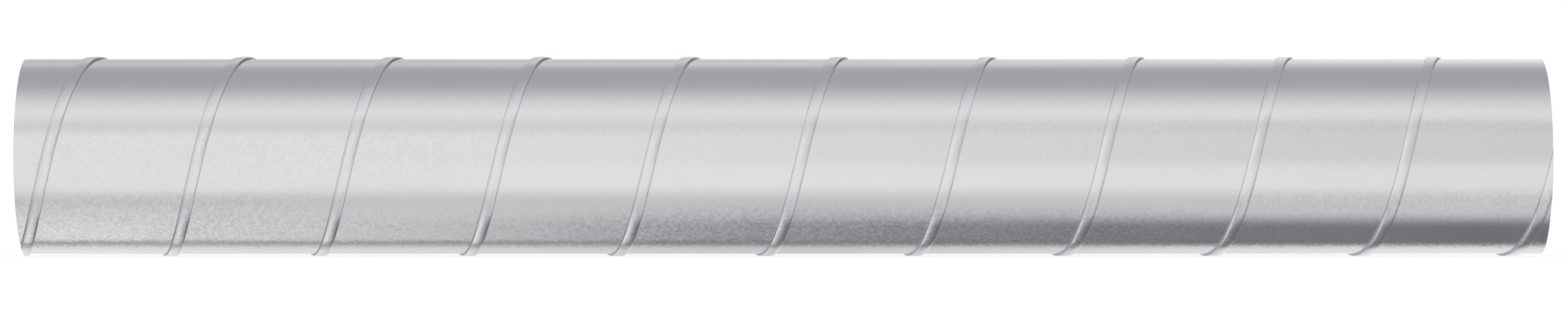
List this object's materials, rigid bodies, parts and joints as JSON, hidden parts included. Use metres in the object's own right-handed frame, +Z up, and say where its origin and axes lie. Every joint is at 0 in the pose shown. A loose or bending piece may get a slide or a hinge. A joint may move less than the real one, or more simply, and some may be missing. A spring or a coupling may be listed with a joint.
{
  "type": "round spiral duct",
  "caption": "Straight round ventilation duct of galvanised steel strip, wound in a helix with a raised folded lock seam, open and square cut at both ends.",
  "frame": {"origin": "mid length of the duct, below its axis, on the floor that its lowest seam crests touch", "axes": "+X along the duct's axis, towards its right end as the picture shows it; +Z up; +Y away from the viewer of the picture"},
  "size_m": [1.25, 0.1648, 0.1649],
  "materials": {
    "galvanised_steel": "hot-dip galvanised with fine spangle"
  },
  "bodies": {
    "root": {"spiral_duct": "galvanised_steel"}
  },
  "joints": []
}
